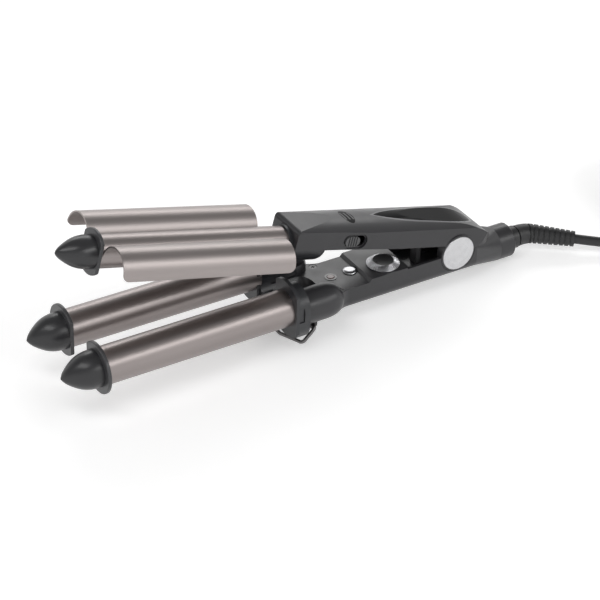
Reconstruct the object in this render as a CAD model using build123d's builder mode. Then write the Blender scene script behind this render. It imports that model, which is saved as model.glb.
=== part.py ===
"""Triple-barrel hair waver: two lower barrels, one upper barrel with cover plates, on a hinged pair of arms.

Every piece is drawn in the lower arm's own frame: the origin is the hinge pivot, +X runs back to the cord,
+Y to the far side and +Z up. The upper arm is drawn with the jaws shut, and then swung open about the pivot.
The finished frame has its origin on the table, under the middle of the waver without its cord.
"""
import os
from math import acos, atan2, cos, degrees, hypot, pi, radians, sin, sqrt, tan

from build123d import *

os.makedirs("parts", exist_ok=True)

# ---------------------------------------------------------------- barrels, tips and cover plates
barrel_spacing = 42.0        # between the axes of the two lower barrels
lower_barrel_radius = 11.0
centre_barrel_radius = 9.5
barrel_wall = 1.0
axis_z = 4.2                 # height of all three axes above the pivot with the jaws shut
barrel_front = -241.0
lower_barrel_back = -119.8
centre_barrel_back = -112.0
flange_thickness = 2.2
flange_round = 0.6
lower_flange_radius = 15.2
centre_flange_radius = 13.1
tip_length = 21.6
tip_waist = 0.83             # the tip's radius halfway along it, as a share of its barrel's
tip_nose = 0.46              # and four fifths along it
neck_setback = 3.0           # how much smaller the tip's neck is than its barrel
socket_depth = 5.0           # how far flange and neck reach into the barrel
core_front_gap = 12.0
core_back_gap = 6.0
core_slot_width = 12.4
core_slot_height = 3.4
element_clearance = 0.2
plate_thickness = 0.9        # sheet of the two cover plates
plate_gap = 0.6              # hair gap between a cover plate and its lower barrel
plate_back = -130.0
plate_setback = 0.5          # from the barrel's front end to the cover plates
plate_drop = 1.2             # how far the outer edge reaches below the barrel's axis
plate_corner = 4.0
fit_clearance = 0.05
seat_clearance = 0.1

# ---------------------------------------------------------------- collars and lower arm
collar_front = -123.0
guard_thickness = 2.2
guard_radius = 17.5          # tall hair guard in front of each lower collar
guard_half_width = 12.6
guard_inner = 10.6           # from the barrel's axis to the guard's flat inner side, which opens the bore
collar_radius = 13.0
collar_low_radius = 12.4     # the collar is drawn down below the barrel
collar_low_z = -3.5
collar_slot_length = 3.4
collar_slot_height = 9.0
collar_slot_depth = 1.0
pod_front = -113.5
pod_radius = 10.4
pod_z = 0.6
pod_straight_back = -100.0
pod_back = -85.3
wall = 2.0
arm_half_width = 16.4
belly_half_width = 20.8
neck_start = -90.0           # where the belly begins to narrow
neck_end = -76.0             # where it has the width of the arm
arm_bottom = -15.5
deck_z = -1.0
platform_z = 1.0
platform_front = -61.0
platform_back = -36.0
well_floor = -9.0
seam_z = -10.0
body_back = 14.0             # where the arm begins to narrow to the round cord end
cover_back = 39.0
arm_back = 48.0
cord_end_radius = 10.6
cord_end_z = -13.7
floor_flat = 0.4             # depth of the flat under the round cord end
bottom_round = 6.0           # along the arm's lower edges
edge_round = 1.5
step_run = 1.6               # length of the slope between deck and platform
chin = 5.0
round_start = 37.0           # where the arm's back is fully round
end_chamfer = 0.8
well_front = -34.0
well_end = 13.0
channel_half_width = 4.5
channel_height = 3.0
wire_hole_radius = 3.5

# ---------------------------------------------------------------- hinge
open_angle = 14.5
pin_radius = 2.5
knuckle_radius = 8.0
knuckle_inner = 6.0
knuckle_outer = 10.5
washer_thickness = 0.5
washer_radius = 5.5
ear_inner = 11.2
ear_radius = 11.9
ear_clearance = 0.3
cap_radius = 10.9
cap_thickness = 2.2
cap_proud = 0.6
spring_radius = 4.4
spring_wire = 0.6
spring_turns = 4
spring_pitch = 2.1
spring_reach = 17.0          # how far in front of the pivot the spring presses on the upper arm
pin_half_length = 14.4

# ---------------------------------------------------------------- upper arm
head_front = -117.5
head_straight_back = -98.0
head_back = -90.5
head_radius = 10.8
head_half_width = 13.2
head_clearance = 0.5
upper_mid_half_width = 14.0
upper_mid = -85.0
upper_wide = -45.0
upper_bottom = 5.0
upper_top_half_width = 15.0
crease_z = 15.7
crown_z = 19.5
crown_x = -60.0
crown_rise = 0.7             # how far the side outline passes above the top of the rounded section
brow_round = 3.0             # along the front of the arm's top
brow_z = 17.2
shoulder_x = -8.0
shoulder_z = 17.8
nape_x = 10.0
nape_z = 16.0
nose_x = 18.0
nose_z = 13.2
nose_back = 25.5
nose_end_z = 8.0
nose_half_width = 7.0
stop_gap = 0.25
knuckle_pocket_back = 9.5
knuckle_pocket_top = 10.0
base_thickness = 1.8
centre_collar_length = 1.9
centre_collar_radius = 10.6
inlay_depth = 1.0
panel_front = -58.0
panel_back = 13.0
panel_stations = ((-43.0, 5.2), (-15.0, 8.6), (5.0, 8.0))    # place along the arm and half width
vent_x = -77.0
vent_length = 15.0
vent_width = 7.6
vent_slots = 3
vent_slot_length = 8.2
vent_slot_width = 1.0
inlay_bottom = 8.5           # below every inlay
trim_width = 1.3

# ---------------------------------------------------------------- lock, dial, button and lamp
lock_x = -77.5
lock_z = 10.3
lock_travel = 4.0
knob_length = 10.0
knob_height = 6.2
lock_recess_length = 16.0
lock_recess_height = 9.4
lock_recess_depth = 0.8
bar_thickness = 1.5
bar_end = -26.8
catch_back = -18.0
catch_half_width = 3.0
catch_notch_front = -27.9
slide_clearance = 0.3
knob_proud = 0.3
knob_ribs = 4
rib_pitch = 1.7
rib_width = 0.8
rib_depth = 0.5
bar_foot = 3.5
bar_tab_rise = 1.0
bar_front_y = -11.7
bar_near_y = -9.0
catch_post = 3.0
lip_front = -25.0
lip_gap = 0.5                # between the locked bar and the catch's lip
lip_thickness = 1.6
dial_x = -46.5
dial_y = -5.5
dial_radius = 9.9
dial_height = 2.6
dial_lift = 0.4              # gap under the dial
dial_flutes = 40
dial_crown_radius = 7.0      # where the ring's slope ends at the top
dial_rim = 0.7               # height of the ring's upright edge
dial_cap_radius = 6.2
dial_shaft_radius = 3.0
dial_floor_thickness = 1.0
dial_flute_radius = 0.45
dial_dish = 0.6
dial_mark_offset = 4.6
dial_mark_radius = 0.7
dial_mark_depth = 0.3
shaft_gap = 1.5              # between the end of the dial's shaft and the board
button_x = -66.0
button_radius = 4.2
button_edge_z = -0.6
button_crown = 1.0
button_flange_radius = 5.2
button_flange_thickness = 0.8
button_travel = 0.8
stem_radius = 1.5
stem_entry = 0.2             # how far the button's stem reaches into the switch at rest
switch_top = -5.0
lamp_x = -79.2
lamp_radius = 2.4
lamp_proud = 0.5
bezel_radius = 3.6
led_radius = 1.5
led_height = 4.4

# ---------------------------------------------------------------- board and screws
board_top = -8.0
board_thickness = 1.6
board_front = -87.5
board_back = -38.4
board_half_width = 12.0
pot_size = 10.0
pot_height = 4.8
switch_size = 6.0
solder_pitch = 4.0
solder_radius = 0.7
solder_height = 0.8
screw_radius = 1.1
screw_head_radius = 2.3
screw_head_height = 1.6
screw_hole_clearance = 0.2
boss_radius = 3.0
screw_sink = 1.8
screw_length = 7.0
screw_bite = 3.5
deck_screw_sink = 1.4
deck_screw_head = 1.2
deck_screw_length = 5.0
deck_boss_bottom = -8.0
cross_length = 2.6           # cross recess in the heads on the deck
cross_width = 0.6
base_sink = 1.0
boss_top = 17.6
cover_boss_bottom = 1.0
upper_screws = ((-87.0, 0.0), (-60.0, 8.0), (-30.0, 8.0))
lower_screws = ((-93.0, -12.5), (-93.0, 12.5), (-57.5, -10.0), (-57.5, 10.0), (4.0, -7.6), (4.0, 7.6))
deck_screws = ((-82.3, -14.7), (-82.3, 14.7))

# ---------------------------------------------------------------- wire stand
stand_wire = 1.1
stand_half_width = 27.0
stand_foot_half_width = 8.0
stand_pivot_x = -105.7
stand_pivot_z = -11.3
stand_lean = 47.0            # angle between the deployed stand and the vertical
stand_bend = 2.6
stand_dip = 5.0              # how far the foot's middle lies beyond its corners
stand_end_proud = 0.6
lug_thickness = 2.5
lug_gap = 0.1                # between a lug and the bend of the wire
lug_radius = 2.7

# ---------------------------------------------------------------- swivel, cord and plug
swivel_neck_radius = 7.0
swivel_neck_length = 6.0
journal_radius = 6.0
journal_length = 11.5
clip_radius = 8.0
clip_thickness = 1.2
guard_root_radius = 6.6
guard_end_radius = 4.8
guard_straight = 8.0
guard_length = 30.0
guard_yaw = -36.5
guard_pitch = 4.0
guard_ribs = 9
guard_bend = 16.0
guard_rib_first = 0.22       # share of the guard's length before its first groove
guard_rib_width = 1.1
guard_rib_depth = 0.7
neck_gap = 0.3
clip_front = 37.6
clip_gap = 6.0
groove_radius = 5.0
stem_bore = 2.7
knot_front = 32.0
knot_length = 2.0
knot_radius = 4.5
chamber_margin = 2.0
cord_radius = 3.0
cord_lift = 0.1
cord_length = 2700.0
lead_run = 24.0
coil_mean_radius = 33.4
coil_width = 18.8
coil_height_stacked = 25.0
coil_round = 5.0
coil_x = 178.25
coil_y = -3.0
plug_offset = 98.5           # from the coil's middle to the end of the cord, along and across
plug_shift = -28.4
plug_run = 12.0
cord_dip = 0.35              # how far the cord sags just before the plug
plug_width = 35.3
plug_height = 13.7
plug_length = 26.0
plug_shoulder = 8.0
plug_shoulder_width = 22.0
plug_round = 3.0
plug_tail = 16.0
plug_tail_radius = 3.6
plug_root_radius = 5.2
plug_pin_radius = 2.0
plug_pin_length = 19.0
plug_pin_spacing = 19.0

# ---------------------------------------------------------------- worked out from the sizes above
barrel_offset = barrel_spacing / 2
flange_front = barrel_front - flange_thickness
tip_apex = flange_front - tip_length
plate_front = barrel_front + plate_setback
plate_inner_radius = lower_barrel_radius + plate_gap
plate_outer_radius = plate_inner_radius + plate_thickness
floor_z = cord_end_z - cord_end_radius + floor_flat
pivot_x = -(tip_apex + arm_back + neck_gap + swivel_neck_length) / 2
lower_pose = Location((pivot_x, 0, -floor_z))
upper_pose = lower_pose * Location((0, 0, 0), (0, open_angle, 0))
open_slope = tan(radians(open_angle))
sides = {"near": -1, "far": 1}
bar_z = upper_bottom + base_thickness + slide_clearance
lip_bottom = bar_z + bar_thickness + lip_gap
lip_top = lip_bottom + lip_thickness
lug_outer = stand_half_width - stand_bend - lug_gap
lug_inner = lug_outer - lug_thickness
spans = 200.0                # longer than anything that it cuts


def cross_plane(x, y=0.0, z=0.0):
    """A plane across the arm at station x: its own axes are Y and Z, and it faces +X."""
    return Plane(origin=(x, y, z), x_dir=(0, 1, 0), z_dir=(1, 0, 0))


def side_plane(y=0.0):
    """A plane along the arm at depth y: its own axes are X and Z, and it faces -Y."""
    return Plane(origin=(0, y, 0), x_dir=(1, 0, 0), z_dir=(0, -1, 0))


def save(piece, label, pose):
    """Stands a finished piece in its pose, gives it its name and writes it."""
    piece.part.label = label
    standing = piece.part.moved(pose)
    standing.label = label
    export_step(standing, f"parts/{label}.step")


def domed_tube(y, z, radius, front, straight_back, back):
    """A solid round bar along the arm, flat in front and domed at the back."""
    with BuildPart() as bar:
        with BuildSketch(side_plane(y)):
            with BuildLine():
                Polyline((back, z), (front, z), (front, z + radius), (straight_back, z + radius))
                Spline((straight_back, z + radius), (back, z), tangents=((1, 0), (0, -1)))
            make_face()
        revolve(axis=Axis((0, y, z), (1, 0, 0)))
    return bar.part


def barrel_radius(side):
    return lower_barrel_radius if side else centre_barrel_radius


def barrel_pose(side):
    return lower_pose if side else upper_pose


# ================================================================ barrels with what they hold
def make_barrel(name, side):
    radius = barrel_radius(side)
    back = lower_barrel_back if side else centre_barrel_back
    with BuildPart() as barrel:
        with BuildSketch(cross_plane(barrel_front, side * barrel_offset, axis_z)):
            Circle(radius)
            Circle(radius - barrel_wall, mode=Mode.SUBTRACT)
        extrude(amount=back - barrel_front)
    save(barrel, f"{name}_barrel", barrel_pose(side))


def make_heater(name, side):
    """An aluminium core that clamps a flat heating element, slid into the barrel."""
    radius = barrel_radius(side) - barrel_wall - seat_clearance
    front = barrel_front + core_front_gap
    back = lower_barrel_back - core_back_gap
    with BuildPart() as core:
        with BuildSketch(cross_plane(front, side * barrel_offset, axis_z)):
            Circle(radius)
            Rectangle(core_slot_width, core_slot_height, mode=Mode.SUBTRACT)
        extrude(amount=back - front)
    save(core, f"{name}_heater_core", barrel_pose(side))
    with BuildPart() as element:
        with BuildSketch(cross_plane(front, side * barrel_offset, axis_z)):
            Rectangle(core_slot_width - 2 * element_clearance, core_slot_height - 2 * element_clearance)
        extrude(amount=back - front)
    save(element, f"{name}_heating_element", barrel_pose(side))


def make_flange(name, side):
    """The hair guard disc at a tip, cut flush with the barrel where the next barrel passes."""
    radius = barrel_radius(side)
    neck_hole = radius - neck_setback + fit_clearance
    disc_radius = lower_flange_radius if side else centre_flange_radius
    with BuildPart() as flange:
        with BuildSketch(cross_plane(flange_front, side * barrel_offset, axis_z)):
            Circle(disc_radius)
            if side >= 0:
                with Locations((-radius - disc_radius, 0)):
                    Rectangle(2 * disc_radius, 2 * disc_radius, mode=Mode.SUBTRACT)
            if side <= 0:
                with Locations((radius + disc_radius, 0)):
                    Rectangle(2 * disc_radius, 2 * disc_radius, mode=Mode.SUBTRACT)
        extrude(amount=flange_thickness)
        fillet(flange.edges().filter_by(GeomType.CIRCLE), flange_round)
        with BuildSketch(cross_plane(barrel_front, side * barrel_offset, axis_z)):
            Circle(radius - barrel_wall - fit_clearance)
        extrude(amount=socket_depth)
        with BuildSketch(cross_plane(flange_front, side * barrel_offset, axis_z)):
            Circle(neck_hole)
        extrude(amount=flange_thickness + socket_depth, mode=Mode.SUBTRACT)
    save(flange, f"{name}_flange", barrel_pose(side))


def make_tip(name, side):
    """The cool bullet-shaped tip, with a neck that plugs through the flange."""
    radius = barrel_radius(side)
    neck = radius - neck_setback
    neck_end = barrel_front + socket_depth
    axis_line = Axis((0, side * barrel_offset, axis_z), (1, 0, 0))
    with BuildPart() as tip:
        with BuildSketch(side_plane(side * barrel_offset)):
            with BuildLine():
                Polyline((tip_apex, axis_z), (neck_end, axis_z), (neck_end, axis_z + neck),
                         (flange_front, axis_z + neck), (flange_front, axis_z + radius))
                Spline((flange_front, axis_z + radius),
                       (flange_front - tip_length / 2, axis_z + tip_waist * radius),
                       (flange_front - 0.8 * tip_length, axis_z + tip_nose * radius),
                       (tip_apex, axis_z), tangents=((-1, 0), (-0.5, -1)))
            make_face()
        revolve(axis=axis_line)
    save(tip, f"{name}_tip", barrel_pose(side))


for barrel_name, barrel_side in (("near", -1), ("centre", 0), ("far", 1)):
    make_barrel(barrel_name, barrel_side)
    make_heater(barrel_name, barrel_side)
    make_flange(barrel_name, barrel_side)
    make_tip(barrel_name, barrel_side)


# ================================================================ cover plates over the lower barrels
def make_cover_plate(name, side):
    """A half-round sheet, welded to the side of the centre barrel, that presses the hair on a lower barrel."""
    plate_z = axis_z - plate_drop
    with BuildPart() as plate:
        with BuildSketch(cross_plane(plate_front, side * barrel_offset, axis_z)):
            Circle(plate_outer_radius)
            Circle(plate_inner_radius, mode=Mode.SUBTRACT)
            with Locations((-side * plate_outer_radius, -plate_outer_radius)):
                Rectangle(2 * plate_outer_radius, 2 * plate_outer_radius, mode=Mode.SUBTRACT)
            with Locations((0, -plate_outer_radius - plate_drop)):
                Rectangle(2 * plate_outer_radius, 2 * plate_outer_radius, mode=Mode.SUBTRACT)
        extrude(amount=plate_back - plate_front)
        with BuildSketch(cross_plane(plate_front, 0, axis_z)):
            Circle(centre_barrel_radius)
        extrude(amount=plate_back - plate_front, mode=Mode.SUBTRACT)
        with BuildSketch(side_plane(spans)):
            with Locations(((plate_front + plate_back) / 2, plate_z + spans / 2)):
                RectangleRounded(plate_back - plate_front, spans, plate_corner)
        extrude(amount=2 * spans, mode=Mode.INTERSECT)
    save(plate, f"{name}_cover_plate", upper_pose)


for plate_name, plate_side in sides.items():
    make_cover_plate(plate_name, plate_side)


# ================================================================ outer form of the upper arm, jaws shut
def head_tube(grow, reach=0.0):
    """The round socket of the centre barrel under the upper arm's head, from reach in front of it."""
    return domed_tube(0, axis_z, head_radius + grow, head_front - grow - reach, head_straight_back, head_back + grow)


def upper_form(inset):
    """The upper arm as one block, with every face moved in by inset: section, plan and side view crossed."""
    with BuildPart() as form:
        with BuildSketch(cross_plane(head_front + inset)):
            with BuildLine():
                Polyline((upper_top_half_width - inset, crease_z - inset / 2), (arm_half_width - inset, upper_bottom),
                         (arm_half_width - inset, -spans), (inset - arm_half_width, -spans),
                         (inset - arm_half_width, upper_bottom),
                         (inset - upper_top_half_width, crease_z - inset / 2))
                ThreePointArc((inset - upper_top_half_width, crease_z - inset / 2), (0, crown_z - inset),
                              (upper_top_half_width - inset, crease_z - inset / 2))
            make_face()
        extrude(amount=nose_back - head_front - 2 * inset)
        with BuildSketch(Plane.XY.offset(-spans)):
            with BuildLine() as plan:
                Polyline((head_front + inset, 0), (head_front + inset, head_half_width - inset),
                         (upper_mid, upper_mid_half_width - inset), (upper_wide, arm_half_width - inset),
                         (well_end, arm_half_width - inset))
                Spline((well_end, arm_half_width - inset), (nose_back - inset, nose_half_width - inset),
                       tangents=((1, 0), (0.25, -1)))
                Line((nose_back - inset, nose_half_width - inset), (nose_back - inset, 0))
                mirror(about=Plane.XZ)
            make_face()
        extrude(amount=2 * spans, mode=Mode.INTERSECT)
        with BuildSketch(side_plane(spans)):
            with BuildLine() as profile:
                Line((head_front + inset, upper_bottom + inset), (head_front + inset, brow_z - brow_round))
                JernArc((head_front + inset, brow_z - brow_round), (0, 1), brow_round - inset, -80)
                Spline(profile.line @ 1, (crown_x, crown_z + crown_rise - inset), (shoulder_x, shoulder_z - inset),
                       (nape_x, nape_z - inset), (nose_x, nose_z - inset), (nose_back - inset, nose_end_z - inset / 2))
                Polyline((nose_back - inset, nose_end_z - inset / 2),
                         (nose_back - inset, (nose_back - inset) * open_slope + stop_gap + inset / 4),
                         (inset, stop_gap + inset), (-ear_radius, upper_bottom + inset),
                         (head_front + inset, upper_bottom + inset))
            make_face()
        extrude(amount=2 * spans, mode=Mode.INTERSECT)
    return form.part


def prism(outline, bottom, top):
    """A sketch on the ground plane drawn up between two heights."""
    with BuildPart() as block:
        with BuildSketch(Plane.XY.offset(bottom)):
            add(outline)
        extrude(amount=top - bottom)
    return block.part


upper_block = upper_form(0)
upper_cavity = upper_form(wall)
inlay_floor = upper_form(inlay_depth)


def half_width(x):
    """Half the upper arm's width at station x, along its two straight tapers."""
    if x < upper_mid:
        share = (x - head_front) / (upper_mid - head_front)
        return head_half_width + share * (upper_mid_half_width - head_half_width)
    share = min((x - upper_mid) / (upper_wide - upper_mid), 1.0)
    return upper_mid_half_width + share * (arm_half_width - upper_mid_half_width)


# ================================================================ inlays in the top of the upper arm
def panel_outline(grow):
    """A long leaf, pointed at the front and round at the back."""
    with BuildSketch() as leaf:
        with BuildLine():
            Spline((panel_front - 2 * grow, 0), *[(x, half + grow) for x, half in panel_stations],
                   (panel_back + grow, 0), tangents=((1, 0.6), (0, -1)))
            mirror(about=Plane.XZ)
        make_face()
    return leaf.sketch


with BuildSketch() as vent_outline:
    with Locations((vent_x, 0)):
        Ellipse(vent_width / 2, vent_length / 2)


def inlay(outline):
    """The outer skin of the upper arm's top within an outline, to the inlay's depth."""
    with BuildPart() as skin:
        add(upper_block)
        add(inlay_floor, mode=Mode.SUBTRACT)
        add(prism(outline, inlay_bottom, crown_z + 1), mode=Mode.INTERSECT)
    return skin.part


with BuildPart() as top_panel:
    add(inlay(panel_outline(0)))
save(top_panel, "top_panel", upper_pose)

with BuildPart() as panel_trim:
    add(inlay(panel_outline(trim_width)))
    add(inlay(panel_outline(0)), mode=Mode.SUBTRACT)
save(panel_trim, "panel_trim", upper_pose)

with BuildPart() as vent_grille:
    add(inlay(vent_outline.sketch))
    with BuildSketch(Plane.XY.offset(inlay_bottom)):
        with GridLocations(vent_width / vent_slots, 1, vent_slots, 1):
            with Locations((vent_x, 0)):
                SlotOverall(vent_slot_length, vent_slot_width, rotation=90)
    extrude(amount=spans, mode=Mode.SUBTRACT)
save(vent_grille, "vent_grille", upper_pose)


# ================================================================ upper arm
base_screw_top = upper_bottom + wall
base_top = upper_bottom + base_thickness
base_front = head_back
base_back = -ear_radius - 2.0
lock_face = half_width(lock_x)
knob_x = lock_x - lock_travel / 2

with BuildSketch() as base_outline:
    with BuildLine():
        Polyline((base_front, 0), (base_front, half_width(base_front) - wall), (upper_mid, half_width(upper_mid) - wall),
                 (upper_wide, arm_half_width - wall), (base_back, arm_half_width - wall), (base_back, 0))
        mirror(about=Plane.XZ)
    make_face()

with BuildPart() as upper_shell:
    add(upper_block)
    add(upper_cavity, mode=Mode.SUBTRACT)
    for ear_side in sides.values():
        with BuildSketch(side_plane(ear_side * ear_inner)):
            Circle(ear_radius)
        extrude(amount=-ear_side * (arm_half_width - ear_inner))
    add(head_tube(seat_clearance), mode=Mode.SUBTRACT)
    with Locations(*[(x, y, base_screw_top) for x, y in upper_screws]):
        Cylinder(boss_radius, boss_top - base_screw_top, align=(Align.CENTER, Align.CENTER, Align.MIN))
        Cylinder(screw_radius, screw_length, align=(Align.CENTER, Align.CENTER, Align.MIN), mode=Mode.SUBTRACT)
    add(prism(base_outline.sketch, upper_bottom - 1, base_screw_top), mode=Mode.SUBTRACT)
    # room for the knuckles, the spring and the catch between the ears
    with BuildSketch(side_plane(ear_inner)):
        with Locations(((base_back + knuckle_pocket_back) / 2, 0)):
            Rectangle(knuckle_pocket_back - base_back, 2 * knuckle_pocket_top)
    extrude(amount=2 * ear_inner, mode=Mode.SUBTRACT)
    # hinge bore and the seats of the caps
    with BuildSketch(side_plane(arm_half_width + 1)):
        Circle(pin_radius + fit_clearance)
    extrude(amount=2 * arm_half_width + 2, mode=Mode.SUBTRACT)
    for ear_side in sides.values():
        with BuildSketch(side_plane(ear_side * (arm_half_width + cap_proud - cap_thickness))):
            Circle(cap_radius + seat_clearance)
        extrude(amount=-ear_side * cap_thickness, mode=Mode.SUBTRACT)
    # recess and slot of the lock
    with BuildSketch(side_plane(-lock_face + lock_recess_depth)):
        with Locations((lock_x, lock_z)):
            SlotOverall(lock_recess_length, lock_recess_height)
    extrude(amount=wall, mode=Mode.SUBTRACT)
    with BuildSketch(side_plane(-lock_face + wall + 1)):
        with Locations((lock_x, lock_z)):
            SlotOverall(knob_length + lock_travel + 2 * slide_clearance, knob_height + 2 * slide_clearance)
    extrude(amount=2 * wall, mode=Mode.SUBTRACT)
    for skin in (top_panel, panel_trim, vent_grille):
        add(skin.part, mode=Mode.SUBTRACT)
save(upper_shell, "upper_shell", upper_pose)

with BuildPart() as centre_socket:
    # bored for the centre barrel, with the wires' way behind it
    add(head_tube(0))
    with BuildSketch(cross_plane(head_front, 0, axis_z)):
        Circle(centre_barrel_radius)
    extrude(amount=centre_barrel_back - head_front, mode=Mode.SUBTRACT)
    with BuildSketch(cross_plane(centre_barrel_back, 0, axis_z + wire_hole_radius)):
        Circle(wire_hole_radius)
    extrude(amount=head_back - centre_barrel_back + 1, mode=Mode.SUBTRACT)
save(centre_socket, "centre_socket", upper_pose)

with BuildPart() as upper_base:
    add(prism(base_outline.sketch, upper_bottom, base_top))
    for x, y in upper_screws:
        with Locations((x, y, upper_bottom)):
            Cylinder(screw_radius + screw_hole_clearance, 2 * base_thickness, mode=Mode.SUBTRACT)
            Cylinder(screw_head_radius + screw_hole_clearance, 2 * base_sink, mode=Mode.SUBTRACT)
    # notch for the catch, whose lip swings down past the plate as the jaws open
    with BuildSketch(Plane.XY.offset(upper_bottom)):
        with Locations(((catch_notch_front + base_back) / 2, 0)):
            Rectangle(base_back - catch_notch_front, 2 * (catch_half_width + slide_clearance))
    extrude(amount=base_thickness, mode=Mode.SUBTRACT)
save(upper_base, "upper_base", upper_pose)


def screws(points, head_bottom, pose, label):
    """Pan-head screws driven up from below, one at each point, in one node."""
    with BuildPart() as group:
        with Locations(*[(x, y, head_bottom) for x, y in points]):
            Cylinder(screw_head_radius, screw_head_height, align=(Align.CENTER, Align.CENTER, Align.MIN))
            Cylinder(screw_radius, screw_length, align=(Align.CENTER, Align.CENTER, Align.MIN))
    save(group, label, pose)


screws(upper_screws, upper_bottom + base_sink - screw_head_height, upper_pose, "upper_screws")

for cap_name, cap_side in sides.items():
    with BuildPart() as pivot_cap:
        with BuildSketch(side_plane(cap_side * (arm_half_width + cap_proud - cap_thickness))):
            Circle(cap_radius)
        extrude(amount=-cap_side * cap_thickness)
        fillet(pivot_cap.faces().sort_by(Axis.Y)[-1 if cap_side > 0 else 0].edges(), cap_proud)
    save(pivot_cap, f"{cap_name}_pivot_cap", upper_pose)

with BuildPart() as centre_collar:
    with BuildSketch(cross_plane(head_front - centre_collar_length, 0, axis_z)):
        Circle(centre_collar_radius)
        Circle(centre_barrel_radius, mode=Mode.SUBTRACT)
    extrude(amount=centre_collar_length)
save(centre_collar, "centre_collar", upper_pose)

# ================================================================ lock: knob, bar and the catch on the lower arm
with BuildPart() as lock_knob:
    with BuildSketch(side_plane(bar_front_y)):
        with Locations((knob_x, lock_z)):
            SlotOverall(knob_length, knob_height)
    extrude(amount=lock_face + knob_proud + bar_front_y)
    for rib in range(knob_ribs):
        with BuildSketch(side_plane(-lock_face - knob_proud + rib_depth)):
            with Locations((knob_x + (rib - (knob_ribs - 1) / 2) * rib_pitch, lock_z)):
                Rectangle(rib_width, knob_height)
        extrude(amount=wall, mode=Mode.SUBTRACT)
save(lock_knob, "lock_knob", upper_pose)

with BuildPart() as lock_bar:
    with BuildSketch(Plane.XY.offset(bar_z)):
        with BuildLine():
            Polyline((knob_x - bar_foot, bar_front_y), (knob_x + bar_foot, bar_front_y),
                     (knob_x + bar_foot, bar_near_y), (bar_end, bar_near_y), (bar_end, catch_half_width),
                     (knob_x - bar_foot, catch_half_width), (knob_x - bar_foot, bar_front_y))
        make_face()
    extrude(amount=bar_thickness)
    with BuildSketch(Plane.XY.offset(bar_z)):
        with Locations((knob_x, bar_front_y + bar_thickness / 2)):
            Rectangle(2 * bar_foot, bar_thickness)
    extrude(amount=lock_z + bar_tab_rise - bar_z)
save(lock_bar, "lock_bar", upper_pose)

with BuildPart() as lock_catch:
    with BuildSketch(side_plane(catch_half_width)):
        with BuildLine():
            Polyline((catch_back, well_floor), (catch_back, lip_top), (lip_front, lip_top), (lip_front, lip_bottom),
                     (catch_back - catch_post, lip_bottom), (catch_back - catch_post, well_floor),
                     (catch_back, well_floor))
        make_face()
    extrude(amount=2 * catch_half_width)
save(lock_catch, "lock_catch", lower_pose)


# ================================================================ outer form of the lower arm
def pod(side, inset):
    """The round housing behind one lower barrel, with a domed back end."""
    return domed_tube(side * barrel_offset, pod_z, pod_radius - inset, pod_front + inset, pod_straight_back,
                      pod_back - inset)


def jaw_valley(grow, reach=0.0):
    """The room that the upper arm's head takes between the pods with the jaws shut, from reach in front of it."""
    with BuildPart() as room:
        add(head_tube(grow, reach))
        with BuildSketch(cross_plane(head_front - grow - reach, 0, upper_bottom - grow)):
            Rectangle(2 * (upper_mid_half_width + grow), spans, align=(Align.CENTER, Align.MIN))
        extrude(amount=pod_back - head_front + 2 * grow + reach)
    return room.part


def lower_form(inset):
    """The lower arm in front of its round end, as one block with every face moved in by inset."""
    with BuildPart() as form:
        with BuildSketch(Plane.XY.offset(-spans / 2)):
            with BuildLine():
                Polyline((pod_front + inset, 0), (pod_front + inset, belly_half_width - inset),
                         (neck_start, belly_half_width - inset))
                Spline((neck_start, belly_half_width - inset), (neck_end, arm_half_width - inset),
                       tangents=((1, 0), (1, 0)))
                Polyline((neck_end, arm_half_width - inset), (body_back, arm_half_width - inset), (body_back, 0))
                mirror(about=Plane.XZ)
            make_face()
        extrude(amount=spans)
        with BuildSketch(side_plane(spans / 2)):
            with BuildLine():
                Polyline((body_back, -inset), (platform_back - inset, -inset),
                         (platform_back - inset, platform_z - inset), (platform_front + inset, platform_z - inset),
                         (platform_front + inset - step_run, deck_z - inset), (pod_front + inset, deck_z - inset),
                         (pod_front + inset, arm_bottom + chin), (pod_front + chin, arm_bottom + inset),
                         (body_back, arm_bottom + inset), (body_back, -inset))
            make_face()
        extrude(amount=spans, mode=Mode.INTERSECT)
        low_edges = form.faces().sort_by(Axis.Z)[0].edges()
        fillet([edge for edge in low_edges if abs(edge.center().Y) > channel_half_width], bottom_round - inset)
        for pod_side in sides.values():
            add(pod(pod_side, inset))
        add(jaw_valley(head_clearance + inset), mode=Mode.SUBTRACT)
    return form.part


def cord_end():
    """The arm's back, narrowing from the flat arm to the round end where the cord leaves."""
    with BuildPart() as end:
        with BuildSketch(cross_plane(body_back, 0, arm_bottom / 2)) as start:
            Rectangle(2 * arm_half_width, -arm_bottom)
            fillet(start.vertices().group_by(Axis.Y)[0], bottom_round)
            fillet(start.vertices().group_by(Axis.Y)[-1], edge_round)
        with BuildSketch(cross_plane(round_start, 0, cord_end_z)):
            RectangleRounded(2 * cord_end_radius, 2 * cord_end_radius, cord_end_radius - 0.1)
        loft()
        with BuildSketch(cross_plane(round_start, 0, cord_end_z)):
            Circle(cord_end_radius)
        extrude(amount=arm_back - round_start)
        chamfer(end.faces().sort_by(Axis.X)[-1].edges(), end_chamfer)
        with BuildSketch(Plane.XY.offset(floor_z - cord_end_radius)):
            Rectangle(spans, spans)
        extrude(amount=cord_end_radius, mode=Mode.SUBTRACT)
    return end.part


with BuildPart() as lower_block:
    add(lower_form(0))
    add(cord_end())

with BuildPart() as lower_cavity:
    add(lower_form(wall))
    with BuildSketch(cross_plane(platform_back - wall)):
        Rectangle(spans, spans)
    extrude(amount=spans, mode=Mode.SUBTRACT)

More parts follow.
